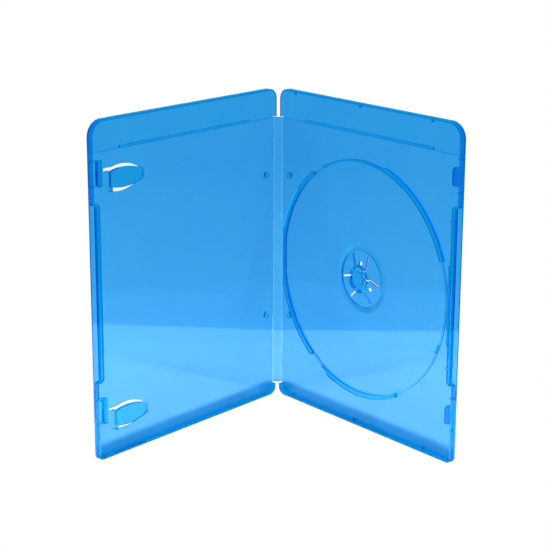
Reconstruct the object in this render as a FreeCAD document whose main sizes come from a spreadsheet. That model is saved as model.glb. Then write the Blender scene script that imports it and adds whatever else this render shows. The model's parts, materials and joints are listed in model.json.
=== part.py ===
import FreeCAD, Part
import math
import os
import Sketcher

# Slim single-disc case in clear blue polypropylene, standing open on its bottom edges.
# It is drawn flat, the way it leaves the mould: spine in the middle, cover leaf towards -X, tray leaf
# towards +X, outer faces on the plane Y = 0 and depth counted inwards along -Y. Each leaf is then
# folded about its living hinge to the angle at which the case stands.

doc = FreeCAD.newDocument("disc_case")
sheet = doc.addObject("Spreadsheet::Sheet", "sizes")

# Driving sizes in millimetres and degrees, with what each one measures.
SIZES = [
    ("case_height", 171.5, "bottom edge to top edge"),
    ("case_width", 135.0, "outside of the spine to the opening edge"),
    ("case_thickness", 7.0, "outside to outside, closed"),
    ("leaf_angle", 40.0, "how far each leaf stands open from closed"),
    ("panel_wall", 1.1, "panel of a leaf at its border"),
    ("rim_wall", 1.0, "rim round a leaf"),
    ("cover_rim_depth", 3.35, "outer face to the cover's rim edge"),
    ("rim_gap", 0.3, "between the two rims, closed"),
    ("top_corner", 8.5, "radius of the top corner at the opening"),
    ("neck_corner", 5.8, "radius of the top corner at the spine"),
    ("foot_corner", 3.0, "radius of the bottom corner at the opening"),
    ("heel_corner", 4.5, "radius of the bottom corner at the spine"),
    ("edge_round", 0.5, "round along the outer face"),
    ("heel_setback", 0.6, "rims above and below the spine, behind its outer face"),
    ("hinge_inset", 0.5, "hinge axis from both outer faces"),
    ("bead_radius", 0.25, "rolled bead of the hinge web"),
    ("hinge_play", 0.05, "bead to its groove"),
    ("lip_land", 0.12, "blunt edge of the groove's lip"),
    ("web_wall", 0.4, "thin hinge web"),
    ("web_room", 0.1, "web to the folded leaf"),
    ("spine_plate_width", 3.6, "stiff middle of the spine"),
    ("spine_plate_wall", 1.0, "thickness of that middle"),
    ("spine_bottom", 6.2, "height of the spine's lower end"),
    ("banner_drop", 15.9, "top edge to the spine's upper end"),
    ("spine_end_gap", 0.65, "spine's ends to the rims"),
    ("sleeve_recess", 0.2, "step that takes the film sleeve"),
    ("sleeve_border", 1.8, "rim left outside the sleeve"),
    ("film_wall", 0.1, "film of the sleeve"),
    ("film_air", 0.05, "film to the panel"),
    ("film_play", 0.3, "film's edge to its step and folds"),
    ("grip_length", 88.8, "finger recess in the opening edge"),
    ("grip_depth", 2.8, "how far the rim steps back there"),
    ("grip_wall", 2.0, "wall of the rim there"),
    ("grip_outer_round", 0.8, "outer round of that step"),
    ("grip_inner_round", 1.4, "inner round of that step"),
    ("banner_rib_drop", 15.2, "top edge to the rib under the banner"),
    ("banner_rib_start", 20.0, "its end by the spine"),
    ("banner_rib_end", 115.0, "its end by the opening"),
    ("banner_rib_wall", 1.2, "its width"),
    ("banner_rib_rise", 1.1, "its rise from the panel"),
    ("latch_low", 25.2, "middle of the lower latch"),
    ("latch_high_drop", 26.0, "top edge to the middle of the upper latch"),
    ("latch_tab_length", 9.6, "tab of the tray's latch"),
    ("latch_tab_wall", 1.2, "its thickness"),
    ("latch_tab_inset", 2.3, "opening edge to the tab"),
    ("latch_tab_round", 2.0, "rounded corners of the tab"),
    ("latch_tip_gap", 0.7, "tab to the cover's panel, closed"),
    ("latch_pocket_length", 13.2, "pocket on the cover for the tab"),
    ("latch_pocket_wall", 2.4, "bar of that pocket"),
    ("latch_pocket_room", 0.7, "tab to that bar"),
    ("latch_pocket_rise", 2.3, "rise of the bar from the panel"),
    ("latch_web_wall", 0.8, "end webs of the pocket"),
    ("latch_web_rise", 1.4, "rise of the end webs"),
    ("clip_low", 19.3, "middle of the lower booklet clip"),
    ("clip_high_drop", 30.0, "top edge to the middle of the upper booklet clip"),
    ("clip_tip", 100.6, "tip of the tongue, from the spine"),
    ("clip_root", 121.8, "root of the tongue, from the spine"),
    ("clip_heel", 126.6, "back of the clip's heel, from the spine"),
    ("clip_belly", 114.0, "broadest part of the tongue, from the spine"),
    ("clip_half", 4.9, "half the tongue's breadth"),
    ("clip_curve", 36.0, "radius of the tongue's long edges"),
    ("clip_tip_round", 4.0, "rounded tip"),
    ("clip_wall", 1.9, "wall of the tongue"),
    ("clip_standoff", 0.6, "booklet's room under the tongue"),
    ("clip_riser", 1.2, "wall that carries the tongue"),
    ("clip_heel_below", 6.2, "heel below the clip's middle"),
    ("clip_heel_above", 3.9, "heel above the clip's middle"),
    ("window_half", 6.8, "half the panel's window under a tongue"),
    ("window_drop", 0.5, "window's middle below the clip's"),
    ("window_curve", 24.0, "radius of the window's long edges"),
    ("window_start", 99.4, "window's end by the spine"),
    ("window_end", 125.6, "window's end by the opening"),
    ("window_round", 3.0, "round at the spine end"),
    ("window_heel_round", 0.8, "round at the heel end"),
    ("window_neck", 5.5, "window beside the heel, above the clip's middle"),
    ("stud_inset", 6.6, "small stud from the spine"),
    ("stud_spread", 39.2, "studs from mid height"),
    ("stud_radius", 1.8, "stud"),
    ("stud_rise", 1.0, "stud above the panel"),
    ("hub_inset", 64.9, "hub's middle from the spine"),
    ("hub_drop", 5.75, "hub's middle below mid height"),
    ("seat_radius", 14.9, "seat that carries the disc"),
    ("seat_rise", 0.9, "seat above the panel"),
    ("seat_slope", 3.4, "sloped edge of the seat"),
    ("crown_radius", 7.35, "crown that goes through the disc"),
    ("crown_wall", 1.1, "wall of the crown"),
    ("crown_rise", 2.1, "crown above the seat"),
    ("crown_slope", 0.8, "sloped top of the crown"),
    ("button_radius", 4.7, "button in the middle"),
    ("button_rise", 0.6, "button above the crown"),
    ("slit_width", 1.0, "slits between the fingers"),
    ("slit_start", 4.4, "inner end of a slit"),
    ("slit_reach", 13.7, "outer end of a slit"),
    ("slit_aside", 2.6, "slit's line from the hub's axis"),
    ("slit_slant", 14.0, "slit's lean from its tooth's direction"),
    ("hub_seam", 30.0, "direction where the hub's round faces begin, clear of the slits"),
    ("tooth_turn", 90.0, "direction of the first tooth"),
    ("tooth_count", 3, "sprung fingers that carry a tooth"),
    ("tooth_width", 2.6, "tooth and the window under it"),
    ("tooth_reach", 0.3, "tooth beyond the crown"),
    ("tooth_wall", 0.6, "height of a tooth"),
    ("tooth_window", 2.0, "window out from the crown"),
    ("well_radius", 61.3, "inside of the disc well"),
    ("well_wall", 1.1, "wall of the well"),
    ("well_rise", 1.8, "wall above the panel"),
    ("well_flat", 60.6, "flat at the spine, from the hub"),
    ("pad_wall", 2.4, "thick stretches of the well's wall"),
    ("upper_pad_start", 20.0, "direction where the upper thick stretch begins"),
    ("upper_pad_sweep", 55.0, "its length round the well"),
    ("spine_pad_start", 127.0, "direction where the one by the spine begins"),
    ("spine_pad_sweep", 106.0, "its length round the well"),
    ("lower_pad_start", 247.0, "direction where the lower one begins"),
    ("lower_pad_sweep", 50.0, "its length round the well"),
    ("lift_start", 298.0, "direction where the low wall for the finger begins"),
    ("lift_sweep", 38.0, "its length round the well"),
    ("side_start", 340.0, "direction where the low wall by the rail begins"),
    ("side_sweep", 41.0, "its length round the well"),
    ("notch_turn", 122.0, "small notches in the wall"),
    ("notch_width", 9.0, "width of a notch"),
    ("notch_rise", 0.6, "wall left in the low stretches"),
    ("gate_inset", 111.9, "gate dimple from the spine"),
    ("gate_up", 35.1, "gate dimple from the bottom edge"),
    ("gate_radius", 1.2, "gate dimple"),
    ("gate_wall", 0.35, "panel left under it"),
    ("tick_wall", 0.8, "small ribs"),
    ("tick_reach", 1.5, "how far they stand out"),
    ("tick_rise", 1.4, "their rise from the panel"),
    ("tick_inner_spread", 15.0, "inner pair from mid height"),
    ("tick_outer_spread", 37.3, "outer pair from mid height"),
    ("tick_shoulder_spread", 51.8, "pair past the finger recess"),
    ("tick_far_spread", 68.4, "last pair from mid height"),
    ("tick_spine_inset", 11.5, "ribs on top and bottom, by the spine"),
    ("tick_middle_inset", 62.2, "ribs on top and bottom, in the middle"),
    ("tick_opening_inset", 114.0, "ribs on top and bottom, by the opening"),
    ("rail_half", 20.4, "half the straight rail beside the well"),
    ("rail_wall", 0.7, "width of that rail"),
    ("rail_rise", 0.8, "its rise from the panel"),
    ("rail_inset", 6.7, "opening edge to the rail"),
    ("cut_room", 1.0, "how far a cutting tool runs past a face"),
]
for row, (alias, value, note) in enumerate(SIZES, start=1):
    sheet.set(f"A{row}", alias)
    sheet.set(f"B{row}", str(value))
    sheet.setAlias(f"B{row}", alias)
    sheet.set(f"C{row}", note)
doc.recompute()


class Size:
    """A length with its present value and the sheet expression that drives it."""

    def __init__(self, value, text):
        self.value = value
        self.text = text

    def __add__(self, other):
        other = as_size(other)
        return Size(self.value + other.value, f"({self.text} + {other.text})")

    def __sub__(self, other):
        other = as_size(other)
        return Size(self.value - other.value, f"({self.text} - {other.text})")

    def __mul__(self, other):
        other = as_size(other)
        return Size(self.value * other.value, f"({self.text} * {other.text})")

    def __truediv__(self, other):
        other = as_size(other)
        return Size(self.value / other.value, f"({self.text} / {other.text})")

    def __neg__(self):
        return Size(-self.value, f"(0 - {self.text})")


def as_size(number):
    return number if isinstance(number, Size) else Size(number, str(number))


def size(alias):
    return Size(float(sheet.get(alias)), f"sizes.{alias}")


def turn(angle):
    """Cosine and sine of an angle in degrees, as sizes."""
    radians = math.radians(angle.value)
    cosine = Size(math.cos(radians), f"cos({angle.text} * 1deg)")
    sine = Size(math.sin(radians), f"sin({angle.text} * 1deg)")
    return cosine, sine


ZERO = as_size(0)
RIGHT_ANGLE = as_size(90)
FULL_TURN = as_size(360)
COVER = -1
TRAY = 1
ON_FACE = 1e-6

# Sizes that follow from the driving ones.
height = size("case_height")
width = size("case_width")
inset = size("hinge_inset")
panel = size("panel_wall")
rim = size("rim_wall")
recess = size("sleeve_recess")
run_past = size("cut_room")
hinge_x = size("case_thickness") / 2 - inset
rim_depth = {
    COVER: size("cover_rim_depth"),
    TRAY: size("case_thickness") - size("cover_rim_depth") - size("rim_gap"),
}
mid_height = height / 2
hub_height = mid_height - size("hub_drop")
spine_top = height - size("banner_drop")
latch_high = height - size("latch_high_drop")
clip_high = height - size("clip_high_drop")
grip_bottom = mid_height - size("grip_length") / 2
grip_top = mid_height + size("grip_length") / 2
notch_bottom = size("spine_bottom") - size("spine_end_gap")
notch_top = spine_top + size("spine_end_gap")
film_face = recess - size("film_air") - size("film_wall")


def bind(item, **sizes):
    """Tie properties to the sheet; a double underscore stands for a dot in the property's path."""
    for path, amount in sizes.items():
        item.setExpression(path.replace("__", "."), as_size(amount).text)


def across(side, inward):
    """X of a point on a leaf, by its distance from the outside of the closed spine."""
    reach = hinge_x - inset + inward
    return reach if side == TRAY else -reach


def box(name, side, w0, w1, d0, d1, z0, z1):
    """Block on a leaf between two distances from the spine, two depths and two heights."""
    block = doc.addObject("Part::Box", name)
    near = across(side, w0) if side == TRAY else across(side, w1)
    bind(block, Length=as_size(w1) - w0, Width=as_size(d1) - d0, Height=as_size(z1) - z0)
    bind(block, Placement__Base__x=near, Placement__Base__y=-as_size(d1), Placement__Base__z=z0)
    return block


def post(name, side, inward, up, d0, d1, radius):
    """Round post that rises from depth d0 to depth d1, square to the leaf."""
    cylinder = doc.addObject("Part::Cylinder", name)
    cylinder.Placement.Rotation = FreeCAD.Rotation(FreeCAD.Vector(1, 0, 0), 90)
    bind(cylinder, Radius=radius, Height=as_size(d1) - d0)
    bind(cylinder, Placement__Base__x=across(side, inward), Placement__Base__y=-as_size(d0))
    bind(cylinder, Placement__Base__z=up)
    return cylinder


def fuse(name, shapes):
    joined = doc.addObject("Part::MultiFuse", name)
    joined.Shapes = shapes
    joined.Refine = True
    return joined


def common(name, base, tool):
    overlap = doc.addObject("Part::Common", name)
    overlap.Base = base
    overlap.Tool = tool
    return overlap


def cut(name, base, tools):
    remains = doc.addObject("Part::Cut", name)
    remains.Base = base
    remains.Tool = tools[0] if len(tools) == 1 else fuse(f"{name}_tools", tools)
    remains.Refine = True
    return remains


def plane_sketch(body, name, depth):
    """Sketch parallel to the outer face, at a depth below it."""
    sketch = body.newObject("Sketcher::SketchObject", name)
    plane = [item for item in body.Origin.OriginFeatures if item.Role == "XZ_Plane"][0]
    sketch.AttachmentSupport = [(plane, "")]
    sketch.MapMode = "FlatFace"
    bind(sketch, AttachmentOffset__Base__z=depth)
    return sketch


def constrain(sketch, kind, places, amount=None):
    """Add a constraint and, where it has a size, tie that size to the sheet."""
    if amount is None:
        sketch.addConstraint(Sketcher.Constraint(kind, *places))
        return
    index = sketch.addConstraint(Sketcher.Constraint(kind, *places, amount.value))
    sketch.setExpression(f"Constraints[{index}]", amount.text)


def hold_level(sketch, line, upright, level):
    """Hold a line at its distance from the sketch's axis."""
    constrain(sketch, "Vertical" if upright else "Horizontal", (line,))
    kind = "DistanceX" if upright else "DistanceY"
    if level is ZERO:
        constrain(sketch, "PointOnObject", (line, 1, -1))
    elif level.value < 0:
        constrain(sketch, kind, (line, 1, -1, 1), -level)
    else:
        constrain(sketch, kind, (-1, 1, line, 1), level)


def outline(sketch, levels, rounds):
    """Closed outline of level and upright lines by turns, the first one level.

    levels holds each line's height or X, and rounds the radius of the corner where that line begins,
    or None where the corner is sharp.
    """
    count = len(levels)
    corners = []
    for index in range(count):
        before = levels[index - 1]
        here = levels[index]
        level_line = index % 2 == 0
        x, z = (before.value, here.value) if level_line else (here.value, before.value)
        corners.append(FreeCAD.Vector(x, z, 0))
    radii = [0.0 if item is None else item.value for item in rounds]
    steps = [(corners[(i + 1) % count] - corners[i]).normalize() for i in range(count)]
    lines = []
    for index in range(count):
        after = (index + 1) % count
        start = corners[index] + steps[index] * radii[index]
        end = corners[after] - steps[index] * radii[after]
        lines.append(sketch.addGeometry(Part.LineSegment(start, end)))
    for index in range(count):
        hold_level(sketch, lines[index], index % 2 == 1, levels[index])
        before = lines[index - 1]
        here = lines[index]
        if rounds[index] is None:
            constrain(sketch, "Coincident", (before, 2, here, 1))
            continue
        radius = radii[index]
        entry = corners[index] - steps[index - 1] * radius
        leave = corners[index] + steps[index] * radius
        centre = entry + steps[index] * radius
        left_turn = steps[index - 1].cross(steps[index]).z > 0
        first, last = (entry, leave) if left_turn else (leave, entry)
        angles = [math.atan2(point.y - centre.y, point.x - centre.x) for point in (first, last)]
        circle = Part.Circle(centre, FreeCAD.Vector(0, 0, 1), radius)
        arc = sketch.addGeometry(Part.ArcOfCircle(circle, angles[0], angles[1]))
        entry_end, leave_end = (1, 2) if left_turn else (2, 1)
        constrain(sketch, "Tangent", (before, 2, arc, entry_end))
        constrain(sketch, "Tangent", (here, 1, arc, leave_end))
        constrain(sketch, "Radius", (arc,), rounds[index])


def pad(body, sketch, name, length):
    feature = body.newObject("PartDesign::Pad", name)
    feature.Profile = sketch
    bind(feature, Length=length)
    sketch.Visibility = False
    return feature


def prism(name, levels, rounds, d0, d1):
    """Plate of a rounded outline between two depths, as a body of its own."""
    body = doc.addObject("PartDesign::Body", name)
    sketch = plane_sketch(body, f"{name}_outline", d0)
    outline(sketch, levels, rounds)
    pad(body, sketch, f"{name}_pad", as_size(d1) - d0)
    return body


def leaf_shell(side, name):
    """Panel with its rim: the rim steps back along the opening edge for the fingers."""
    top = size("top_corner")
    neck = size("neck_corner")
    foot = size("foot_corner")
    heel = size("heel_corner")
    grip_out = size("grip_outer_round")
    grip_in = size("grip_inner_round")
    setback = size("heel_setback")
    spine_edge = across(side, setback)
    body = doc.addObject("PartDesign::Body", f"{name}_shell")
    panel_sketch = plane_sketch(body, f"{name}_panel_outline", ZERO)
    outline(panel_sketch, [ZERO, across(side, width), height, spine_edge], [heel, foot, top, neck])
    panel_pad = pad(body, panel_sketch, f"{name}_panel", panel)
    doc.recompute()
    border = [
        f"Edge{number}"
        for number, edge in enumerate(panel_pad.Shape.Edges, start=1)
        if edge.BoundBox.YMin > -ON_FACE and edge.BoundBox.YMax < ON_FACE
    ]
    rounded = body.newObject("PartDesign::Fillet", f"{name}_outer_round")
    rounded.Base = (panel_pad, border)
    bind(rounded, Radius=size("edge_round"))
    rim_sketch = plane_sketch(body, f"{name}_rim_outline", panel)
    stepped = width - size("grip_depth")
    grip_face = stepped - size("grip_wall")
    outline(
        rim_sketch,
        [ZERO, across(side, width), grip_bottom, across(side, stepped), grip_top, across(side, width), height,
         spine_edge],
        [heel, foot, grip_out, grip_in, grip_in, grip_out, top, neck],
    )
    outline(
        rim_sketch,
        [rim, across(side, width - rim), grip_bottom - rim, across(side, grip_face), grip_top + rim,
         across(side, width - rim), height - rim, across(side, setback + rim)],
        [heel - rim, foot - rim, None, grip_in + rim, grip_in + rim, None, top - rim, neck - rim],
    )
    pad(body, rim_sketch, f"{name}_rim", rim_depth[side] - panel)
    return body


def hinge_clearing(side, name):
    """What the leaf leaves free for the spine's web and bead, over the spine's height."""
    groove_radius = size("bead_radius") + size("hinge_play")
    web_edge = inset + size("web_wall") / 2 + size("web_room")
    deep = rim_depth[side] + run_past
    low = -run_past
    groove = doc.addObject("Part::Cylinder", f"{name}_hinge_groove")
    bind(groove, Radius=groove_radius, Height=notch_top - notch_bottom)
    bind(groove, Placement__Base__x=across(side, inset), Placement__Base__y=-inset)
    bind(groove, Placement__Base__z=notch_bottom)
    return [
        groove,
        box(f"{name}_rim_gap", side, low, size("heel_setback") + rim + run_past, panel, deep, notch_bottom,
            notch_top),
        box(f"{name}_web_swing", side, low, web_edge, inset, deep, notch_bottom, notch_top),
        box(f"{name}_lip_end", side, low, inset + size("lip_land"), low, deep, notch_bottom, notch_top),
    ]


def sleeve_step(side, name):
    """Shallow step on the outside that takes the film sleeve."""
    border = size("sleeve_border")
    top = spine_top + size("film_play")
    return box(f"{name}_sleeve_step", side, -run_past, width - border, -run_past, recess, border, top)


def banner_rib(side, name):
    half = size("banner_rib_wall") / 2
    level = height - size("banner_rib_drop")
    return box(
        f"{name}_banner_rib", side, size("banner_rib_start"), size("banner_rib_end"), panel - recess,
        panel + size("banner_rib_rise"), level - half, level + half)


def studs(side, name):
    """Pair of small studs beside the hinge, the same distance above and below mid height."""
    spread = size("stud_spread")
    return [
        post(f"{name}_stud_{end}", side, size("stud_inset"), up, panel - recess, panel + size("stud_rise"),
             size("stud_radius"))
        for end, up in (("lower", mid_height - spread), ("upper", mid_height + spread))
    ]


def fold(leaf, side):
    """Fold a finished leaf about its hinge axis and move the case over the middle of its base."""
    swing = RIGHT_ANGLE - size("leaf_angle")
    swing = -swing if side == TRAY else swing
    cosine, sine = turn(swing)
    axis_x = across(side, inset)
    leaf.Placement.Rotation = FreeCAD.Rotation(FreeCAD.Vector(0, 0, 1), swing.value)
    bind(leaf, Placement__Rotation__Angle=swing)
    bind(leaf, Placement__Base__x=axis_x - cosine * axis_x - sine * inset)
    bind(leaf, Placement__Base__y=-inset - sine * axis_x + cosine * inset + base_shift())


def base_shift():
    """How far the spine stands behind the middle of the case's footprint."""
    cosine, sine = turn(size("leaf_angle"))
    deepest = rim_depth[COVER] - inset
    front = inset + (width - inset) * cosine + deepest * sine
    back = film_face
    return (front + back) / 2


# Spine: a stiff strip between two thin webs, each ending in a bead on its hinge axis.
def build_spine():
    low = size("spine_bottom")
    tall = spine_top - low
    half_plate = size("spine_plate_width") / 2
    half_web = size("web_wall") / 2
    plate = doc.addObject("Part::Box", "spine_plate")
    bind(plate, Length=size("spine_plate_width"), Width=size("spine_plate_wall"), Height=tall)
    bind(plate, Placement__Base__x=-half_plate, Placement__Base__y=-(recess + size("spine_plate_wall")))
    bind(plate, Placement__Base__z=low)
    web = doc.addObject("Part::Box", "spine_web")
    bind(web, Length=hinge_x * 2, Width=size("web_wall"), Height=tall)
    bind(web, Placement__Base__x=-hinge_x, Placement__Base__y=-(inset + half_web), Placement__Base__z=low)
    beads = []
    for side, end in ((COVER, "cover"), (TRAY, "tray")):
        bead = doc.addObject("Part::Cylinder", f"{end}_bead")
        bind(bead, Radius=size("bead_radius"), Height=tall)
        bind(bead, Placement__Base__x=across(side, inset), Placement__Base__y=-inset, Placement__Base__z=low)
        beads.append(bead)
    spine = fuse("spine_panel", [plate, web] + beads)
    bind(spine, Placement__Base__y=base_shift())
    return spine


# Booklet clip on the cover: a sprung tongue on a riser, over a window in the panel.
def lens(name, plate, middle, half, curve, d0, d1):
    """Trim a plate to two long arcs that bulge away from each other about a clip's belly."""
    shift = curve - half
    belly = size("clip_belly")
    lower = post(f"{name}_lower_arc", COVER, belly, middle + shift, d0 - run_past, d1 + run_past, curve)
    upper = post(f"{name}_upper_arc", COVER, belly, middle - shift, d0 - run_past, d1 + run_past, curve)
    return common(name, common(f"{name}_half", plate, lower), upper)


def booklet_clip(name, middle):
    root = size("clip_root")
    heel_end = size("clip_heel")
    riser_end = root + size("clip_riser")
    half = size("clip_half")
    under = panel + size("clip_standoff")
    above = under + size("clip_wall")
    heel_low = middle - size("clip_heel_below")
    heel_high = middle + size("clip_heel_above")
    tip_round = size("clip_tip_round")
    plate = prism(
        f"{name}_plate",
        [middle - half, across(COVER, size("clip_tip")), middle + half, across(COVER, riser_end)],
        [None, tip_round, tip_round, None], under, above)
    tongue = lens(f"{name}_tongue", plate, middle, half, size("clip_curve"), under, above)
    riser = box(f"{name}_riser", COVER, root, riser_end, recess, above, heel_low, heel_high)
    heel = box(f"{name}_heel", COVER, root, heel_end, recess, panel, heel_low, heel_high)
    window_middle = middle - size("window_drop")
    window_half = size("window_half")
    end_round = size("window_round")
    heel_round = size("window_heel_round")
    opening = prism(
        f"{name}_opening",
        [window_middle - window_half, across(COVER, size("window_start")), window_middle + window_half,
         across(COVER, size("window_end"))],
        [heel_round, end_round, end_round, heel_round], -run_past, panel + run_past)
    window = lens(f"{name}_window", opening, window_middle, window_half, size("window_curve"), -run_past,
                  panel + run_past)
    neck = box(f"{name}_neck", COVER, size("clip_belly"), size("window_end"), -run_past, panel + run_past,
               middle, middle + size("window_neck"))
    return {"added": [tongue, riser, heel], "windows": [window, neck]}


# Latch pocket on the cover: a bar beside the rim, closed at both ends, that takes the tray's tab.
def latch_pocket(name, middle):
    half = size("latch_pocket_length") / 2
    tab_inner = width - size("latch_tab_inset") - size("latch_tab_wall")
    bar_outer = tab_inner - size("latch_pocket_room")
    bar_inner = bar_outer - size("latch_pocket_wall")
    web = size("latch_web_wall")
    sunk = panel - recess
    bar_top = panel + size("latch_pocket_rise")
    web_top = panel + size("latch_web_rise")
    low = middle - half
    high = middle + half
    rim_middle = width - rim / 2
    return [
        box(f"{name}_bar", COVER, bar_inner, bar_outer, sunk, bar_top, low, high),
        box(f"{name}_lower_web", COVER, bar_outer, rim_middle, sunk, web_top, low, low + web),
        box(f"{name}_upper_web", COVER, bar_outer, rim_middle, sunk, web_top, high - web, high),
    ]


def build_cover():
    shell = leaf_shell(COVER, "cover")
    clips = [booklet_clip("lower_clip", size("clip_low")), booklet_clip("upper_clip", clip_high)]
    pockets = latch_pocket("lower_pocket", size("latch_low")) + latch_pocket("upper_pocket", latch_high)
    opened = cut("cover_windows", shell, [window for clip in clips for window in clip["windows"]])
    added = [piece for clip in clips for piece in clip["added"]]
    added += pockets + studs(COVER, "cover") + [banner_rib(COVER, "cover")]
    dressed = fuse("cover_dressed", [opened] + added)
    cover = cut("cover_leaf", dressed, hinge_clearing(COVER, "cover") + [sleeve_step(COVER, "cover")])
    fold(cover, COVER)
    return cover


def hub_spoke(name, w0, w1, d0, d1, breadth, direction, aside=ZERO):
    """Block that runs outwards in one direction on the tray, at a distance aside from the hub's axis."""
    block = box(name, TRAY, ZERO, as_size(w1) - w0, d0, d1, ZERO, breadth)
    cosine, sine = turn(direction)
    block.Placement.Rotation = FreeCAD.Rotation(FreeCAD.Vector(0, -1, 0), direction.value)
    half = as_size(breadth) / 2 - aside
    bind(block, Placement__Rotation__Angle=direction)
    bind(block, Placement__Base__x=across(TRAY, size("hub_inset")) + as_size(w0) * cosine + half * sine)
    bind(block, Placement__Base__z=hub_height + as_size(w0) * sine - half * cosine)
    return block


def hub_disc(name, d0, d1, radius):
    return post(name, TRAY, size("hub_inset"), hub_height, d0, d1, radius)


# Hub: sprung fingers round a push button, slit from each other, three of them with a tooth for the disc.
def hub_parts():
    seat_top = panel + size("seat_rise")
    crown = size("crown_radius")
    crown_top = seat_top + size("crown_rise")
    button_top = crown_top + size("button_rise")
    wall = size("crown_wall")
    seat = doc.addObject("Part::Cone", "hub_seat")
    seat.Placement.Rotation = FreeCAD.Rotation(FreeCAD.Vector(1, 0, 0), 90)
    bind(seat, Radius1=size("seat_radius") + size("seat_slope"), Radius2=size("seat_radius"))
    bind(seat, Height=size("seat_rise"), Placement__Base__x=across(TRAY, size("hub_inset")))
    bind(seat, Placement__Base__y=-panel, Placement__Base__z=hub_height)
    top = doc.addObject("Part::Cone", "crown_top")
    top.Placement.Rotation = FreeCAD.Rotation(FreeCAD.Vector(1, 0, 0), 90)
    bind(top, Radius1=crown, Radius2=crown - size("crown_slope"), Height=size("crown_slope"))
    bind(top, Placement__Base__x=across(TRAY, size("hub_inset")), Placement__Base__z=hub_height)
    bind(top, Placement__Base__y=size("crown_slope") - crown_top)
    added = [
        seat,
        hub_disc("crown", panel, crown_top - size("crown_slope"), crown),
        top,
        hub_disc("hub_button", seat_top, button_top, size("button_radius")),
    ]
    removed = [
        hub_disc("seat_core", -run_past, seat_top - panel + recess, size("seat_radius")),
        hub_disc("hub_core", -run_past, crown_top - wall, crown - wall),
    ]
    for piece in added + removed:
        turned = FreeCAD.Rotation(FreeCAD.Vector(0, -1, 0), size("hub_seam").value)
        piece.Placement.Rotation = turned.multiply(piece.Placement.Rotation)
    tooth_count = round(size("tooth_count").value)
    tooth_step = FULL_TURN / size("tooth_count")
    tooth_top = crown_top - size("crown_slope")
    for number in range(tooth_count):
        direction = size("tooth_turn") + tooth_step * number
        added.append(hub_spoke(f"tooth_{number + 1}", crown - wall / 2, crown + size("tooth_reach"),
                               tooth_top - size("tooth_wall"), tooth_top, size("tooth_width"), direction))
        removed.append(hub_spoke(f"tooth_window_{number + 1}", crown - size("tooth_reach"),
                                 crown + size("tooth_window"), -run_past, seat_top + run_past / 2,
                                 size("tooth_width"), direction))
        for hand, sign in (("left", 1), ("right", -1)):
            removed.append(hub_spoke(f"{hand}_slit_{number + 1}", size("slit_start"), size("slit_reach"),
                                     -run_past, crown_top + run_past, size("slit_width"),
                                     direction + size("slit_slant") * sign, size("slit_aside") * sign))
    return added, removed


def well_plate(name, radius, flat, d1):
    """Disc round the hub's axis with a flat towards the spine."""
    disc = hub_disc(f"{name}_disc", panel - recess, d1, radius)
    start = size("hub_inset") - flat
    half_box = box(f"{name}_side", TRAY, start, size("hub_inset") + radius + run_past, ZERO,
                   as_size(d1) + run_past, hub_height - radius - run_past,
                   hub_height + radius + run_past)
    return common(name, disc, half_box)


def hub_sector(name, d0, d1, radius, stretch):
    """Slice of a disc about the hub's axis, over one stretch of the well's wall."""
    slice_disc = hub_disc(name, d0, d1, radius)
    turned = FreeCAD.Rotation(FreeCAD.Vector(0, -1, 0), size(f"{stretch}_start").value)
    slice_disc.Placement.Rotation = turned.multiply(slice_disc.Placement.Rotation)
    bind(slice_disc, Angle=size(f"{stretch}_sweep"))
    return slice_disc


# Disc well: a wall round the disc with a flat at the spine, thick stretches, low stretches and notches.
def disc_well():
    inner = size("well_radius")
    outer = inner + size("well_wall")
    padded = inner + size("pad_wall")
    top = panel + size("well_rise")
    flat = size("well_flat")
    outer_flat = flat + size("well_wall")
    hollow = well_plate("well_inside", inner, flat, top + run_past)
    rough = cut("well_ring", well_plate("well_outside", outer, outer_flat, top), [hollow])
    low = panel + size("notch_rise")
    openings = [
        hub_spoke(f"notch_{end}", inner - run_past, outer + run_past, low, top + run_past, size("notch_width"),
                  direction)
        for end, direction in (("upper", size("notch_turn")), ("lower", -size("notch_turn")))
    ]
    openings += [
        hub_sector(f"{stretch}_opening", low, top + run_past, outer + run_past, stretch)
        for stretch in ("lift", "side")
    ]
    wall = cut("well_wall_notched", rough, openings)
    thick = cut("well_thick_ring", well_plate("well_padded", padded, outer_flat, top), [hollow])
    pads = [
        common(f"{stretch}_stretch", thick, hub_sector(f"{stretch}_sector", ZERO, top + run_past,
                                                       padded + run_past, stretch))
        for stretch in ("upper_pad", "spine_pad", "lower_pad")
    ]
    return [wall] + pads


# Small ribs that stiffen the tray's rim, in pairs about mid height and along the top and bottom edges.
def tray_ticks():
    sunk = panel - recess
    top = panel + size("tick_rise")
    half = size("tick_wall") / 2
    reach = size("tick_reach")
    stepped = width - size("grip_depth") - size("grip_wall")
    plain = width - rim
    ticks = []
    for name, base in (("inner", stepped), ("outer", stepped), ("shoulder", plain), ("far", plain)):
        spread = size(f"tick_{name}_spread")
        for end, up in (("lower", mid_height - spread), ("upper", mid_height + spread)):
            ticks.append(box(f"{name}_{end}_tick", TRAY, base - reach, base + rim / 2, sunk, top, up - half,
                             up + half))
    for name in ("spine", "middle", "opening"):
        near = size(f"tick_{name}_inset") - half
        far = size(f"tick_{name}_inset") + half
        ticks.append(box(f"{name}_top_tick", TRAY, near, far, sunk, top, height - rim - reach,
                         height - rim / 2))
        ticks.append(box(f"{name}_bottom_tick", TRAY, near, far, sunk, top, rim / 2, rim + reach))
    return ticks


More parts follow.
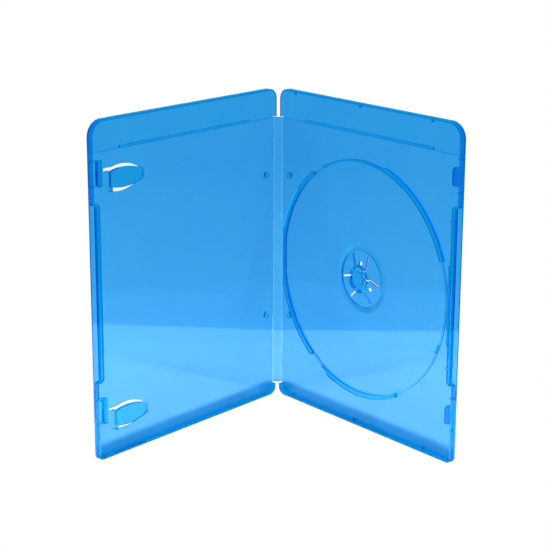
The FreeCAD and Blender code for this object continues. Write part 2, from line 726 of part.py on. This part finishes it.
def latch_tab(name, middle):
    """Tab with rounded corners that stands up inside the rim and enters the cover's pocket."""
    half = size("latch_tab_length") / 2
    outer = width - size("latch_tab_inset")
    inner = outer - size("latch_tab_wall")
    tip = size("case_thickness") - panel - size("latch_tip_gap")
    bend = size("latch_tab_round")
    sunk = panel - recess
    pieces = [
        box(f"{name}_post", TRAY, inner, outer, sunk, tip - bend, middle - half, middle + half),
        box(f"{name}_tip", TRAY, inner, outer, tip - bend - recess, tip, middle - half + bend,
            middle + half - bend),
    ]
    for end, up in (("lower", middle - half + bend), ("upper", middle + half - bend)):
        round_end = doc.addObject("Part::Cylinder", f"{name}_{end}_round")
        round_end.Placement.Rotation = FreeCAD.Rotation(FreeCAD.Vector(0, 1, 0), 90)
        bind(round_end, Radius=bend, Height=size("latch_tab_wall"), Placement__Base__x=across(TRAY, inner))
        bind(round_end, Placement__Base__y=bend - tip, Placement__Base__z=up)
        pieces.append(round_end)
    return pieces


def build_tray():
    shell = leaf_shell(TRAY, "tray")
    hub_added, hub_removed = hub_parts()
    rail_outer = width - size("rail_inset")
    rail = box("well_rail", TRAY, rail_outer - size("rail_wall"), rail_outer, panel - recess,
               panel + size("rail_rise"), hub_height - size("rail_half"),
               hub_height + size("rail_half"))
    tabs = latch_tab("lower_tab", size("latch_low")) + latch_tab("upper_tab", latch_high)
    dressed = fuse("tray_dressed", [shell, rail, banner_rib(TRAY, "tray")] + disc_well() + hub_added + tabs
                   + tray_ticks() + studs(TRAY, "tray"))
    dimple = post("gate_dimple", TRAY, size("gate_inset"), size("gate_up"), recess + size("gate_wall"),
                  panel + run_past, size("gate_radius"))
    tools = hinge_clearing(TRAY, "tray") + [sleeve_step(TRAY, "tray"), dimple] + hub_removed
    tray = cut("disc_tray_leaf", dressed, tools)
    fold(tray, TRAY)
    return tray


# Clear film sleeve: it lies in its step on the outside, below the banner, and folds over the spine.
def film_sheet(name, left, right, bottom, top):
    return prism(name, [bottom, right, top, left], [None] * 4, film_face, film_face + size("film_wall"))


def build_sleeve():
    play = size("film_play")
    low = size("sleeve_border") + play
    high = spine_top
    hinge_end = inset + play
    open_end = width - size("sleeve_border") - play
    cover_film = film_sheet("cover_film", across(COVER, open_end), across(COVER, hinge_end), low, high)
    fold(cover_film, COVER)
    tray_film = film_sheet("tray_film", across(TRAY, hinge_end), across(TRAY, open_end), low, high)
    fold(tray_film, TRAY)
    half = hinge_x - play
    spine_film = film_sheet("spine_film", -half, half, size("spine_bottom"), high)
    bind(spine_film, Placement__Base__y=base_shift())
    return [cover_film, spine_film, tray_film]


nodes = [build_spine(), build_cover(), build_tray()] + build_sleeve()
doc.recompute()
for item in doc.Objects:
    if "Invalid" in item.State or "Error" in item.State:
        raise RuntimeError(f"{item.Label} did not build: {item.State}")

os.makedirs("parts", exist_ok=True)
for node in nodes:
    if node.Shape.isNull() or not node.Shape.isValid():
        raise RuntimeError(f"{node.Label} has no valid solid")
    node.Shape.exportStep(f"parts/{node.Label}.step")
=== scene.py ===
import json
import math

import bmesh
import bpy
from mathutils import Matrix, Vector


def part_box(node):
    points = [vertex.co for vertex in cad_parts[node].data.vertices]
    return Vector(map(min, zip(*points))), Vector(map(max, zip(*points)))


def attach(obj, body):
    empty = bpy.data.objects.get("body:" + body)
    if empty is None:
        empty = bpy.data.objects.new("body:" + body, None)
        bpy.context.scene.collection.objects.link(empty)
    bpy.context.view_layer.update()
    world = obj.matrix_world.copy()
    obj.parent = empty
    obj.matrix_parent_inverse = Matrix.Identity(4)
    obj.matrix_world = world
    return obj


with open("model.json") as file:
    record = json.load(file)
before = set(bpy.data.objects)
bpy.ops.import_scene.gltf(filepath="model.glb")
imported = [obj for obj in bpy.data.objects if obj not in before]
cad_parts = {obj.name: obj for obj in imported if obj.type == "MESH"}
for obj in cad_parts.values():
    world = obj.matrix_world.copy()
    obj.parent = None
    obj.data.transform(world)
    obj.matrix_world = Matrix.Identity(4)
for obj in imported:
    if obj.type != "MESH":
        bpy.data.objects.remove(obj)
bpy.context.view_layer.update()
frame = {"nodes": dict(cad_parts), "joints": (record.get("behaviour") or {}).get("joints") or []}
nodes = frame["nodes"]
scene = bpy.context.scene
scene.view_settings.view_transform = "Standard"

# Spine: the stiff strip between the two living hinges, moulded in one shot with the leaves.
# It is clear blue polypropylene: the skin takes most of the colour out of the light, and thick
# stretches such as rims and ribs look deeper because the light runs further inside them.
flow_detail = 1.0
flow_strength = 0.6
scuffs_per_metre = 700.0
scuff_detail = 5.0
scuff_least = 0.35
scuff_most = 0.75
skin = bpy.data.node_groups.new("moulded_skin", "ShaderNodeTree")
for skin_input in ("Waves per metre", "Wave depth", "Smoothest", "Roughest"):
    skin.interface.new_socket(skin_input, in_out="INPUT", socket_type="NodeSocketFloat")
skin.interface.new_socket("Tone", in_out="OUTPUT", socket_type="NodeSocketFloat")
skin.interface.new_socket("Roughness", in_out="OUTPUT", socket_type="NodeSocketFloat")
skin.interface.new_socket("Normal", in_out="OUTPUT", socket_type="NodeSocketVector")
skin_in = skin.nodes.new("NodeGroupInput")
skin_out = skin.nodes.new("NodeGroupOutput")
skin_place = skin.nodes.new("ShaderNodeTexCoord")
skin_flow = skin.nodes.new("ShaderNodeTexNoise")
skin_flow.inputs["Detail"].default_value = flow_detail
skin.links.new(skin_place.outputs["Object"], skin_flow.inputs["Vector"])
skin.links.new(skin_in.outputs["Waves per metre"], skin_flow.inputs["Scale"])
skin_wave = skin.nodes.new("ShaderNodeBump")
skin_wave.inputs["Strength"].default_value = flow_strength
skin.links.new(skin_in.outputs["Wave depth"], skin_wave.inputs["Distance"])
skin.links.new(skin_flow.outputs["Fac"], skin_wave.inputs["Height"])
skin_scuff = skin.nodes.new("ShaderNodeTexNoise")
skin_scuff.inputs["Scale"].default_value = scuffs_per_metre
skin_scuff.inputs["Detail"].default_value = scuff_detail
skin.links.new(skin_place.outputs["Object"], skin_scuff.inputs["Vector"])
skin_gloss = skin.nodes.new("ShaderNodeMapRange")
skin_gloss.inputs["From Min"].default_value = scuff_least
skin_gloss.inputs["From Max"].default_value = scuff_most
skin.links.new(skin_in.outputs["Smoothest"], skin_gloss.inputs["To Min"])
skin.links.new(skin_in.outputs["Roughest"], skin_gloss.inputs["To Max"])
skin.links.new(skin_scuff.outputs["Fac"], skin_gloss.inputs["Value"])
skin.links.new(skin_flow.outputs["Fac"], skin_out.inputs["Tone"])
skin.links.new(skin_gloss.outputs["Result"], skin_out.inputs["Roughness"])
skin.links.new(skin_wave.outputs["Normal"], skin_out.inputs["Normal"])


def clear_material(name, light_bend):
    """Start a see-through material that bends light by its refractive index."""
    material = bpy.data.materials.new(name)
    material.use_nodes = True
    shader = material.node_tree.nodes["Principled BSDF"]
    shader.inputs["Transmission Weight"].default_value = 1.0
    shader.inputs["IOR"].default_value = light_bend
    return material, shader


def lay_skin(material, waves_per_metre, wave_depth, smoothest, roughest):
    """Give a material's shader the fine waves and scuffs of the moulded skin."""
    tree = material.node_tree
    shader = tree.nodes["Principled BSDF"]
    layer = tree.nodes.new("ShaderNodeGroup")
    layer.node_tree = skin
    layer.inputs["Waves per metre"].default_value = waves_per_metre
    layer.inputs["Wave depth"].default_value = wave_depth
    layer.inputs["Smoothest"].default_value = smoothest
    layer.inputs["Roughest"].default_value = roughest
    tree.links.new(layer.outputs["Roughness"], shader.inputs["Roughness"])
    tree.links.new(layer.outputs["Normal"], shader.inputs["Normal"])
    return layer


def dress(name, material):
    """Give a node its one material."""
    mesh = nodes[name].data
    mesh.materials.clear()
    mesh.materials.append(material)


plastic_bend = 1.49
plastic_deep = (0.46, 0.55, 1.0, 1.0)
plastic_pale = (0.495, 0.584, 1.0, 1.0)
plastic_glint = (0.2, 0.85, 1.0, 1.0)
plastic_inside = (0.0, 0.92, 0.945, 1.0)
plastic_inside_density = 1000.0
plastic_in_reflection = (0.69, 0.753, 1.0, 1.0)
plastic_in_shadow = (0.05, 0.8, 0.66, 1.0)
plastic, plastic_shader = clear_material("clear_blue_plastic", plastic_bend)
plastic_shader.inputs["Specular Tint"].default_value = plastic_glint
plastic_skin = lay_skin(plastic, waves_per_metre=55.0, wave_depth=0.00002, smoothest=0.03, roughest=0.09)
plastic_nodes = plastic.node_tree.nodes
plastic_links = plastic.node_tree.links
plastic_end = plastic_nodes["Material Output"]
plastic_dye = plastic_nodes.new("ShaderNodeMixRGB")
plastic_dye.inputs["Color1"].default_value = plastic_deep
plastic_dye.inputs["Color2"].default_value = plastic_pale
plastic_links.new(plastic_skin.outputs["Tone"], plastic_dye.inputs["Fac"])
plastic_links.new(plastic_dye.outputs["Color"], plastic_shader.inputs["Base Color"])
plastic_depth = plastic_nodes.new("ShaderNodeVolumeAbsorption")
plastic_depth.inputs["Color"].default_value = plastic_inside
plastic_depth.inputs["Density"].default_value = plastic_inside_density
plastic_links.new(plastic_depth.outputs["Volume"], plastic_end.inputs["Volume"])
# Reflected light and the lamp's shadow cross the plastic in a straight line and only take its tint.
plastic_ray = plastic_nodes.new("ShaderNodeLightPath")
plastic_mirrored = plastic_nodes.new("ShaderNodeBsdfTransparent")
plastic_mirrored.inputs["Color"].default_value = plastic_in_reflection
plastic_shade = plastic_nodes.new("ShaderNodeBsdfTransparent")
plastic_shade.inputs["Color"].default_value = plastic_in_shadow
plastic_seen = plastic_nodes.new("ShaderNodeMixShader")
plastic_links.new(plastic_ray.outputs["Is Reflection Ray"], plastic_seen.inputs["Fac"])
plastic_links.new(plastic_shader.outputs["BSDF"], plastic_seen.inputs[1])
plastic_links.new(plastic_mirrored.outputs["BSDF"], plastic_seen.inputs[2])
plastic_lit = plastic_nodes.new("ShaderNodeMixShader")
plastic_links.new(plastic_ray.outputs["Is Shadow Ray"], plastic_lit.inputs["Fac"])
plastic_links.new(plastic_seen.outputs["Shader"], plastic_lit.inputs[1])
plastic_links.new(plastic_shade.outputs["BSDF"], plastic_lit.inputs[2])
plastic_links.new(plastic_lit.outputs["Shader"], plastic_end.inputs["Surface"])
dress("spine_panel", plastic)

# Cover leaf: panel, rim, booklet clips, latch pockets and finger recess, moulded as one piece.
# It is the same clear blue polypropylene, hung on the left web of the spine.
dress("cover_leaf", plastic)

# Tray leaf: panel, rim, disc well, sprung hub and latch tabs, moulded as one piece.
# It is the same clear blue polypropylene, hung on the right web of the spine.
dress("disc_tray_leaf", plastic)

# Film sleeve: a thin clear polypropylene film that holds a printed wrap against the outside.
# It lies in a shallow step below the banner and is welded to the case along its edges.
film_bend = 1.3
film_tint = (0.97, 0.99, 1.0, 1.0)
film_share = 0.1
film, film_shader = clear_material("clear_film", film_bend)
film_shader.inputs["Base Color"].default_value = film_tint
film_shader.inputs["Alpha"].default_value = film_share
lay_skin(film, waves_per_metre=28.0, wave_depth=0.0005, smoothest=0.05, roughest=0.12)
for film_name in ("cover_film", "spine_film", "tray_film"):
    dress(film_name, film)

# Film hems: the sealed upper edges of the film on both leaves, a fine darker line below the banner.
# Each is the film itself, melted a little thicker along its edge, so it rides with that film's leaf.
# A leaf lies flat along X when its hinge is fully open, so the hem is turned back by that angle.
hem_tint = (0.55, 0.82, 1.0, 1.0)
hem_tall = 0.0006
hem_wall = 0.00014
hem_round = 0.00005
hem_round_steps = 2
hem_paint, hem_shader = clear_material("film_hem", film_bend)
hem_shader.inputs["Base Color"].default_value = hem_tint
lay_skin(hem_paint, waves_per_metre=400.0, wave_depth=0.00002, smoothest=0.06, roughest=0.16)
for hinge in frame["joints"]:
    leaf = hinge["child"]
    fully_open = math.radians(hinge["range_deg"][1])
    turned_back = Matrix.Rotation(-fully_open * hinge["axis"][2], 3, "Z")
    film_low, film_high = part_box(leaf + "_film")
    hem_long = math.hypot(film_high.x - film_low.x, film_high.y - film_low.y) - hem_wall
    hem_middle = (film_low + film_high) / 2
    hem_middle.z = film_high.z - hem_tall / 2
    hem_form = bmesh.new()
    bmesh.ops.create_cube(hem_form, size=1)
    bmesh.ops.scale(hem_form, vec=(hem_long, hem_wall, hem_tall), verts=hem_form.verts)
    bmesh.ops.bevel(
        hem_form, geom=hem_form.edges[:], offset=hem_round, segments=hem_round_steps, affect="EDGES")
    bmesh.ops.rotate(hem_form, matrix=turned_back, verts=hem_form.verts)
    bmesh.ops.translate(hem_form, vec=hem_middle, verts=hem_form.verts)
    hem_mesh = bpy.data.meshes.new(leaf + "_film_hem")
    hem_form.to_mesh(hem_mesh)
    hem_form.free()
    hem_mesh.materials.append(hem_paint)
    hem = bpy.data.objects.new(leaf + "_film_hem", hem_mesh)
    scene.collection.objects.link(hem)
    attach(hem, leaf)

# Table: a plain pale top that ends a little behind the spine, so its back edge shows through the leaves.
# The camera sees it as plain white, and everything else sees its matt paint under the lamp.
table_colour = (0.8, 0.8, 0.905, 1.0)
plain_white = (1.0, 1.0, 1.0, 1.0)
table_front = -0.4
table_half = 0.22
table_back_left = 0.186
table_back_middle = 0.166
table_back_right = 0.169
table_level = -0.0003
table_lip = 0.0002
table_backs = (table_back_left, table_back_middle, table_back_right)
table_points = []
for across, back in zip((-table_half, 0, table_half), table_backs):
    table_points.append((across, table_front, table_level))
    table_points.append((across, back, table_level))
    table_points.append((across, back, table_lip))
table_faces = [(0, 3, 4, 1), (3, 6, 7, 4), (7, 4, 5, 8), (4, 1, 2, 5)]
table_mesh = bpy.data.meshes.new("table_top")
table_mesh.from_pydata(table_points, [], table_faces)
table = bpy.data.objects.new("table_top", table_mesh)
scene.collection.objects.link(table)
table_paint = bpy.data.materials.new("table_white")
table_paint.use_nodes = True
table_nodes = table_paint.node_tree.nodes
table_links = table_paint.node_tree.links
table_nodes.remove(table_nodes["Principled BSDF"])
table_matt = table_nodes.new("ShaderNodeBsdfDiffuse")
table_matt.inputs["Color"].default_value = table_colour
table_white = table_nodes.new("ShaderNodeEmission")
table_white.inputs["Color"].default_value = plain_white
table_ray = table_nodes.new("ShaderNodeLightPath")
table_mix = table_nodes.new("ShaderNodeMixShader")
table_links.new(table_ray.outputs["Is Camera Ray"], table_mix.inputs["Fac"])
table_links.new(table_matt.outputs["BSDF"], table_mix.inputs[1])
table_links.new(table_white.outputs["Emission"], table_mix.inputs[2])
table_links.new(table_mix.outputs["Shader"], table_nodes["Material Output"].inputs["Surface"])
table_mesh.materials.append(table_paint)

# Lamp: one square softbox high overhead, a little in front of the case.
# It throws the soft blue shadow that shows through the foot of each leaf.
lamp_side = 0.05
lamp_watts = 22.0
lamp_place = (0.0, -0.11, 1.5)
lamp_data = bpy.data.lights.new("softbox", "AREA")
lamp_data.shape = "SQUARE"
lamp_data.size = lamp_side
lamp_data.energy = lamp_watts
lamp = bpy.data.objects.new("softbox", lamp_data)
lamp.location = lamp_place
lamp.visible_transmission = False
scene.collection.objects.link(lamp)

# Room: white to the camera and blue in reflections, with a wall that shows only through the plastic.
# The wall is palest low down, towards the table's back edge, and dark high up.
wall_lowest_rise = -0.3
wall_highest_rise = 0.4
wall_edge_place = 0.14
wall_middle_place = 0.45
wall_bottom = (0.33, 0.8, 0.965, 1.0)
wall_edge = (0.194, 0.65, 0.832, 1.0)
wall_middle = (0.27, 0.64, 0.77, 1.0)
wall_top = (0.035, 0.057, 0.08, 1.0)
room_dim = (0.008, 0.03, 0.03, 1.0)
room_in_reflection = (0.03, 0.5, 0.74, 1.0)
room = bpy.data.worlds.new("room")
scene.world = room
room.use_nodes = True
room_nodes = room.node_tree.nodes
room_links = room.node_tree.links
room_way = room_nodes.new("ShaderNodeTexCoord")
room_split = room_nodes.new("ShaderNodeSeparateXYZ")
room_links.new(room_way.outputs["Generated"], room_split.inputs["Vector"])
room_rise = room_nodes.new("ShaderNodeMapRange")
room_rise.inputs["From Min"].default_value = wall_lowest_rise
room_rise.inputs["From Max"].default_value = wall_highest_rise
room_links.new(room_split.outputs["Z"], room_rise.inputs["Value"])
room_wall = room_nodes.new("ShaderNodeValToRGB")
room_wall.color_ramp.elements[0].color = wall_bottom
room_wall.color_ramp.elements[1].color = wall_top
room_wall.color_ramp.elements.new(wall_edge_place).color = wall_edge
room_wall.color_ramp.elements.new(wall_middle_place).color = wall_middle
room_links.new(room_rise.outputs["Result"], room_wall.inputs["Fac"])
room_ray = room_nodes.new("ShaderNodeLightPath")
room_gloss = room_nodes.new("ShaderNodeMixRGB")
room_gloss.inputs["Color1"].default_value = room_dim
room_gloss.inputs["Color2"].default_value = room_in_reflection
room_links.new(room_ray.outputs["Is Reflection Ray"], room_gloss.inputs["Fac"])
room_through = room_nodes.new("ShaderNodeMixRGB")
room_links.new(room_gloss.outputs["Color"], room_through.inputs["Color1"])
room_links.new(room_wall.outputs["Color"], room_through.inputs["Color2"])
room_links.new(room_ray.outputs["Is Transmission Ray"], room_through.inputs["Fac"])
room_seen = room_nodes.new("ShaderNodeMixRGB")
room_seen.inputs["Color2"].default_value = plain_white
room_links.new(room_through.outputs["Color"], room_seen.inputs["Color1"])
room_links.new(room_ray.outputs["Is Camera Ray"], room_seen.inputs["Fac"])
room_links.new(room_seen.outputs["Color"], room_nodes["Background"].inputs["Color"])

# Camera: a long lens above the opening, nearly square to the spine.
# It looks down on the case by about sixteen degrees, tilted very slightly.
camera_lens = 105.302
camera_sensor = 36.0
camera_nearest = 0.01
camera_place = (0.008757, -0.798932, 0.306395)
pitch = math.radians(15.663)
yaw = math.radians(-0.6883)
roll = math.radians(0.2377)
camera_data = bpy.data.cameras.new("camera")
camera_data.lens = camera_lens
camera_data.sensor_width = camera_sensor
camera_data.clip_start = camera_nearest
camera = bpy.data.objects.new("camera", camera_data)
scene.collection.objects.link(camera)
forward = Vector((math.sin(yaw) * math.cos(pitch), math.cos(yaw) * math.cos(pitch), -math.sin(pitch)))
level_right = Vector((math.cos(yaw), -math.sin(yaw), 0))
level_up = level_right.cross(forward)
right = level_right * math.cos(roll) + level_up * math.sin(roll)
up = level_up * math.cos(roll) - level_right * math.sin(roll)
turned = Matrix((right, up, -forward)).transposed().to_4x4()
camera.matrix_world = Matrix.Translation(camera_place) @ turned
scene.camera = camera
